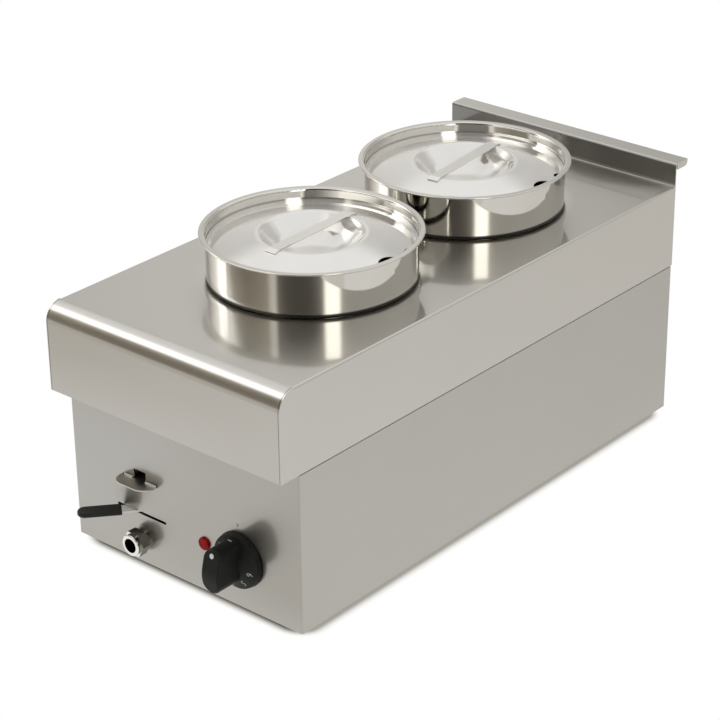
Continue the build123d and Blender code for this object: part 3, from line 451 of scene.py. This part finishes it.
def dress_nodes():
    """Give every CAD node its own finish, or that of its slot."""
    slots = {}
    for entry in frame["record"]["materials"]:
        for name in entry.get("nodes", []):
            slots[name] = entry["slot"]
    for name, node in nodes.items():
        for slot in node.material_slots:
            key = own_finish.get(name) or slots.get(name) or slot.material.name.split(".")[0]
            slot.material = finishes[key]


def finished(name, shape):
    """Mesh from a shape that is done."""
    mesh = bpy.data.meshes.new(name)
    shape.to_mesh(mesh)
    shape.free()
    return mesh


def placed(name, data):
    """New object in the scene."""
    thing = bpy.data.objects.new(name, data)
    bpy.context.scene.collection.objects.link(thing)
    return thing


def add_object(name, mesh, body, material):
    """Put a finished mesh in the scene, riding a body."""
    piece = placed(name, mesh)
    mesh.materials.clear()
    mesh.materials.append(material)
    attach(piece, body)


def lay_on_knob(mesh, start, across, upward, toward):
    """Lay a thin mark on the knob's solid by casting each of its points toward it."""
    knob = nodes["control_knob"]
    for vertex in mesh.vertices:
        point = start + across * vertex.co.x + upward * vertex.co.y
        _, spot, normal, _ = knob.ray_cast(point, toward)
        vertex.co = spot + normal * (ink if vertex.co.z > 0 else -ink)
    return mesh


def lay_on_dial(mesh, angle, ring):
    """Lay a mark on the knob's front at an angle and radius, with its top edge outward."""
    turn = math.radians(angle)
    across = Vector((math.cos(turn), 0, -math.sin(turn)))
    outward = Vector((math.sin(turn), 0, math.cos(turn)))
    start = Vector((knob_x, knob_low.y - cast_from, knob_z)) + outward * ring
    return lay_on_knob(mesh, start, across, outward, Vector((0, 1, 0)))


def text_mesh(name, text, size):
    """Thin raised mesh of one numeral, centred on its origin."""
    curve = bpy.data.curves.new(name, "FONT")
    curve.body = text
    curve.size = size
    curve.align_x = "CENTER"
    curve.align_y = "CENTER"
    curve.extrude = ink / 2
    holder = placed(name + "_text", curve)
    bpy.context.view_layer.update()
    mesh = bpy.data.meshes.new_from_object(holder.evaluated_get(bpy.context.evaluated_depsgraph_get()))
    bpy.data.objects.remove(holder)
    bpy.data.curves.remove(curve)
    return mesh


def mark_mesh(name, outline, thick):
    """Thin solid mark from an outline in its own plane."""
    shape = bmesh.new()
    low = [shape.verts.new((x, y, -thick)) for x, y in outline]
    face = shape.faces.new(low)
    grown = bmesh.ops.extrude_face_region(shape, geom=[face])
    raised = [v for v in grown["geom"] if isinstance(v, bmesh.types.BMVert)]
    bmesh.ops.translate(shape, verts=raised, vec=(0, 0, 2 * thick))
    bmesh.ops.recalc_face_normals(shape, faces=shape.faces)
    return finished(name, shape)


def dial_marks():
    """Numerals, tick and dot printed on the knob."""
    white = printed("dial_white", (0.82, 0.83, 0.82))
    worn = printed("dial_worn", (0.50, 0.51, 0.50))
    for count, number in enumerate("654321"):
        low = number == low_numeral
        mesh = text_mesh("dial_" + number, number, low_size if low else numeral_size)
        lay_on_dial(mesh, numeral_start + count * numeral_step, low_ring if low else numeral_ring)
        add_object("dial_" + number, mesh, "knob", worn)
    wide, tall = tick_half
    across = [wide * (step / tick_steps - 1) for step in range(2 * tick_steps + 1)]
    bar = [(x, -tall) for x in across] + [(x, tall) for x in reversed(across)]
    above = Vector((knob_x, knob_back - tick_out, knob_high.z + cast_from))
    tick = mark_mesh("dial_tick", bar, ink / 2)
    lay_on_knob(tick, above, Vector((1, 0, 0)), Vector((0, 1, 0)), Vector((0, 0, -1)))
    add_object("dial_tick", tick, "knob", worn)
    turns = [math.tau * step / dot_steps for step in range(dot_steps)]
    round_outline = [(dot_radius * math.cos(turn), dot_radius * math.sin(turn)) for turn in turns]
    dot = lay_on_dial(mark_mesh("grip_dot", round_outline, ink / 2), 0, dot_height)
    add_object("grip_dot", dot, "knob", white)


def panel_mark():
    """Small dark index printed on the panel above the knob."""
    dark = printed("index_dark", (0.05, 0.05, 0.05))
    w, h = index_half
    mesh = mark_mesh("dial_index", [(-w, h), (0, -h), (w, h), (0, h / 3)], ink / 2)
    turn = Matrix(((1, 0, 0), (0, 0, -1), (0, 1, 0))).to_4x4()
    turn.translation = Vector((knob_x - index_left, panel_face - ink / 2, knob_z + index_up))
    mesh.transform(turn)
    add_object("dial_index", mesh, "frame", dark)


def catch_lip():
    """Lip along the root of the catch plate, its near-white colour a painted highlight."""
    shape = bmesh.new()
    for low_x, high_x in lip_spans:
        made = bmesh.ops.create_cube(shape, size=1.0)["verts"]
        bmesh.ops.scale(shape, verts=made, vec=(high_x - low_x, lip_sheet, lip_rise))
        middle = ((low_x + high_x) / 2, catch_back - lip_sheet / 2, catch_top + lip_rise / 2)
        bmesh.ops.translate(shape, verts=made, vec=middle)
    bmesh.ops.bevel(shape, geom=shape.edges[:], offset=lip_sheet / 4, segments=2, affect="EDGES")
    # Painted highlight: the lip is near white and only partly metallic, so the lamps light it bright.
    bright = sheet_steel("lip_sheet", (0.90, 0.89, 0.86), 0.4, grain_x, metal=0.3)
    add_object("catch_lip", finished("catch_lip", shape), "catch", bright)


def white_paths(g):
    """1 for camera, glossy and transmitted rays, 0 for the rest."""
    path = g.add("LightPath")
    seen = g.math("MAXIMUM", path.outputs["Is Camera Ray"], path.outputs["Is Glossy Ray"])
    return g.math("MAXIMUM", seen, path.outputs["Is Transmission Ray"])


def make_world():
    """White all round for the camera and for reflections, softer light on the object."""
    world = bpy.data.worlds.new("studio")
    bpy.context.scene.world = world
    g = Graph(world)
    background = g.tree.nodes["Background"]
    g.put(background, "Color", (1.0, 1.0, 1.0, 1))
    g.put(background, "Strength", g.ranged(white_paths(g), 0.55, 1.0, 0, 1))


def reflected_dimness(g, spot):
    """How much darker reflections see the floor: far in front, just in front and behind."""
    far_front = g.ranged(spot[1], 1.0, 0.0, -0.62, -0.48)
    left = g.math("MULTIPLY", far_front, g.ranged(spot[0], 0.36, 0.05, -0.47, -0.12))
    front = g.math("SUBTRACT", g.ranged(spot[1], 1.0, 0.0, -0.34, -0.30), far_front)
    right = g.math("MULTIPLY", front, g.ranged(spot[0], -0.12, 0.20, -0.24, 0.08))
    behind = g.ranged(spot[1], 0.0, 0.14, 0.0, 0.65)
    sides = g.math("ADD", g.math("ADD", left, right), behind)
    glossy = g.add("LightPath").outputs["Is Glossy Ray"]
    return g.math("MULTIPLY", glossy, g.math("ADD", 0.20, sides))


def floor_material():
    """White floor that is lit, and so takes the shadow, only close round the object, where its colour is
    also darkened and warmed as a painted shadow.
    """
    material, g = new_graph("floor_white")
    shader = g.shader()
    fine = g.noise(g.place(), scale=300.0)
    g.put(shader, "Roughness", g.ranged(fine, 0.68, 0.72))
    spot = g.spot()
    middle = (casing_low.y + casing_high.y) / 2
    half_x = casing_high.x
    half_y = (casing_high.y - casing_low.y) / 2
    off_x = g.math("SUBTRACT", g.math("ABSOLUTE", spot[0]), half_x)
    off_y = g.math("SUBTRACT", g.math("ABSOLUTE", g.math("SUBTRACT", spot[1], middle)), half_y)
    off_x = g.math("SUBTRACT", g.math("MULTIPLY", off_x, shadow_side_stretch), shadow_side_shift)
    off_y = g.math("SUBTRACT", off_y, shadow_front_shift)
    past_x = g.math("MAXIMUM", g.math("ADD", off_x, shadow_corner), 0.0)
    past_y = g.math("MAXIMUM", g.math("ADD", off_y, shadow_corner), 0.0)
    away = g.math("SUBTRACT", g.length(past_x, past_y), shadow_corner)
    fade = g.eased(away, shadow_start, shadow_end)
    # Painted shadow: the floor's colour darkens near the casing, and the white glow there turns warm, on
    # top of the shade the lamps cast.
    g.put(shader, "Base Color", g.tint(fade, (0.45, 0.44, 0.42), (0.87, 0.87, 0.86)))
    in_front = g.math("GREATER_THAN", off_y, off_x)
    least = g.ranged(in_front, shadow_side_least, shadow_front_least, 0, 1)
    warm = g.tint(fade, (1.0, 0.97, 0.84), (1, 1, 1))
    tone = g.tint(reflected_dimness(g, spot), warm, (0.42, 0.36, 0.26))
    glow = g.add("Emission", {"Color": tone, "Strength": 1.0})
    g.surface(g.math("MULTIPLY", g.math("MAXIMUM", fade, least), white_paths(g)), shader, glow)
    return material


def make_floor():
    """Large plain floor."""
    shape = bmesh.new()
    bmesh.ops.create_grid(shape, x_segments=1, y_segments=1, size=floor_half)
    mesh = finished("floor", shape)
    mesh.materials.append(floor_material())
    floor = placed("floor", mesh)


def round_ramp(g, turn, stops):
    """Colour by the direction round the object, in degrees from the front toward the right."""
    ramp = g.add("ValToRGB", {"Fac": g.ranged(turn, 0.0, 1.0, -math.pi, math.pi)})
    elements = ramp.color_ramp.elements
    while len(elements) < len(stops):
        elements.new(0.5)
    for element, (angle, colour) in zip(elements, stops):
        element.position = (angle + 180) / 360
        element.color = (*scaled(colour, 1 / card_power), 1)
    return ramp.outputs["Color"]


def wall_material():
    """Studio wall seen in the metal: windows, cards and a tall flag in front, darker at its foot."""
    material, g = new_graph("studio_cards")
    spot = g.spot()
    turn = g.math("ARCTAN2", spot[0], g.math("MULTIPLY", spot[1], -1.0))
    window = (3.8, 3.74, 3.6)
    sunny = (3.8, 3.72, 3.45)
    gap = (1.3, 1.26, 1.18)
    grey = (0.84, 0.83, 0.80)
    dull = (0.54, 0.53, 0.51)
    brown = (0.17, 0.14, 0.10)
    dark = (0.05, 0.045, 0.04)
    cards = round_ramp(g, turn, [
        (-180, dull), (-152, dull), (-139, grey), (-106, (0.42, 0.41, 0.39)), (-80, (2.0, 1.97, 1.9)),
        (-74, window), (-62, window), (-59, brown), (-30, brown), (-7, (0.44, 0.39, 0.31)),
        (-2, gap), (2, gap), (5, dark), (50, dark), (54, sunny), (66, sunny),
        (70, (0.52, 0.51, 0.48)), (145, (0.62, 0.61, 0.58)), (180, dull),
    ])
    pale = (0.76, 0.74, 0.70)
    low = (0.22, 0.19, 0.15)
    foot = round_ramp(g, turn, [
        (-180, pale), (-104, pale), (-96, low), (60, low), (90, (0.60, 0.58, 0.54)), (180, pale),
    ])
    shade = g.tint(g.ranged(spot[2], 1.0, 0.0, *foot_fade), cards, foot)
    glow = g.add("Emission", {"Color": shade, "Strength": card_power})
    clear = g.add("BsdfTransparent")
    taller = g.ranged(turn, top_taller, 0.0, math.radians(-130), math.radians(-100))
    top = g.ranged(g.math("SUBTRACT", spot[2], taller), 0.0, 1.0, *top_fade)
    from_left = g.ranged(turn, 0.0, 1.0, math.radians(-62), math.radians(-54))
    to_right = g.ranged(turn, 1.0, 0.0, math.radians(48), math.radians(56))
    flag = g.math("MULTIPLY", from_left, to_right)
    g.surface(g.math("MULTIPLY", top, g.math("SUBTRACT", 1.0, flag)), glow, clear)
    return material


def diffuser_material():
    """Bright diffuser with soft edges."""
    material, g = new_graph("studio_diffuser")
    spot = g.spot()
    off = g.math("MAXIMUM", g.math("ABSOLUTE", spot[0]), g.math("ABSOLUTE", spot[1]))
    glow = g.add("Emission", {"Color": (1.0, 0.99, 0.97, 1), "Strength": diffuser_power})
    g.surface(g.eased(off, diffuser_even, 1.0), glow, g.add("BsdfTransparent"))
    return material


def reflected_only(name, shape, material):
    """Studio piece that only reflections see."""
    mesh = finished(name, shape)
    mesh.materials.append(material)
    piece = placed(name, mesh)
    piece.visible_camera = False
    piece.visible_diffuse = False
    piece.visible_shadow = False
    return piece


def make_wall():
    """Round wall of cards, and a long diffuser above the front nose."""
    wall = bmesh.new()
    bmesh.ops.create_cone(wall, cap_ends=False, segments=wall_sides, radius1=wall_radius,
                          radius2=wall_radius, depth=wall_height)
    bmesh.ops.translate(wall, verts=wall.verts, vec=(0, 0, wall_middle))
    reflected_only("studio_wall", wall, wall_material())
    sheet = bmesh.new()
    bmesh.ops.create_grid(sheet, x_segments=1, y_segments=1, size=1.0)
    diffuser = reflected_only("studio_diffuser", sheet, diffuser_material())
    diffuser.location = diffuser_place
    diffuser.rotation_euler = (diffuser_tilt, 0, 0)
    diffuser.scale = (*diffuser_half, 1.0)


def soft_light(name, place, size, energy):
    """Square soft lamp aimed at the object."""
    lamp = bpy.data.lights.new(name, "AREA")
    lamp.shape = "SQUARE"
    lamp.size = size
    lamp.energy = energy
    lamp.color = (1.0, 0.985, 0.96)
    holder = placed(name, lamp)
    holder.location = place
    holder.rotation_euler = (Vector(lamp_target) - Vector(place)).to_track_quat("-Z", "Y").to_euler()
    holder.visible_camera = False
    holder.visible_glossy = False


def make_lights():
    """Soft boxes overhead and at the left, and a weaker fill at the right."""
    soft_light("top_box", place=(-0.2, 0.1, 2.4), size=1.8, energy=14.0)
    soft_light("left_box", place=(-2.1, -0.6, 1.7), size=1.3, energy=8.0)
    soft_light("right_fill", place=(2.0, 0.3, 1.6), size=1.0, energy=3.5)


def make_camera():
    """Camera at the photograph's viewing angle."""
    data = bpy.data.cameras.new("camera")
    data.lens = camera_lens
    data.sensor_width = camera_sensor
    data.sensor_fit = "HORIZONTAL"
    flat = math.cos(camera_rise)
    back = Vector((math.sin(camera_turn) * flat, -math.cos(camera_turn) * flat, math.sin(camera_rise)))
    right = (-back).cross(Vector((0, 0, 1))).normalized()
    up = right.cross(-back)
    c, s = math.cos(camera_roll), math.sin(camera_roll)
    rolled_right = right * c + up * s
    rolled_up = up * c - right * s
    matrix = Matrix((rolled_right, rolled_up, back)).transposed().to_4x4()
    matrix.translation = camera_place
    camera = placed("camera", data)
    camera.matrix_world = matrix
    bpy.context.scene.camera = camera


dress_nodes()
dial_marks()
panel_mark()
catch_lip()
make_world()
make_floor()
make_wall()
make_lights()
make_camera()
bpy.context.scene.view_settings.view_transform = "Standard"
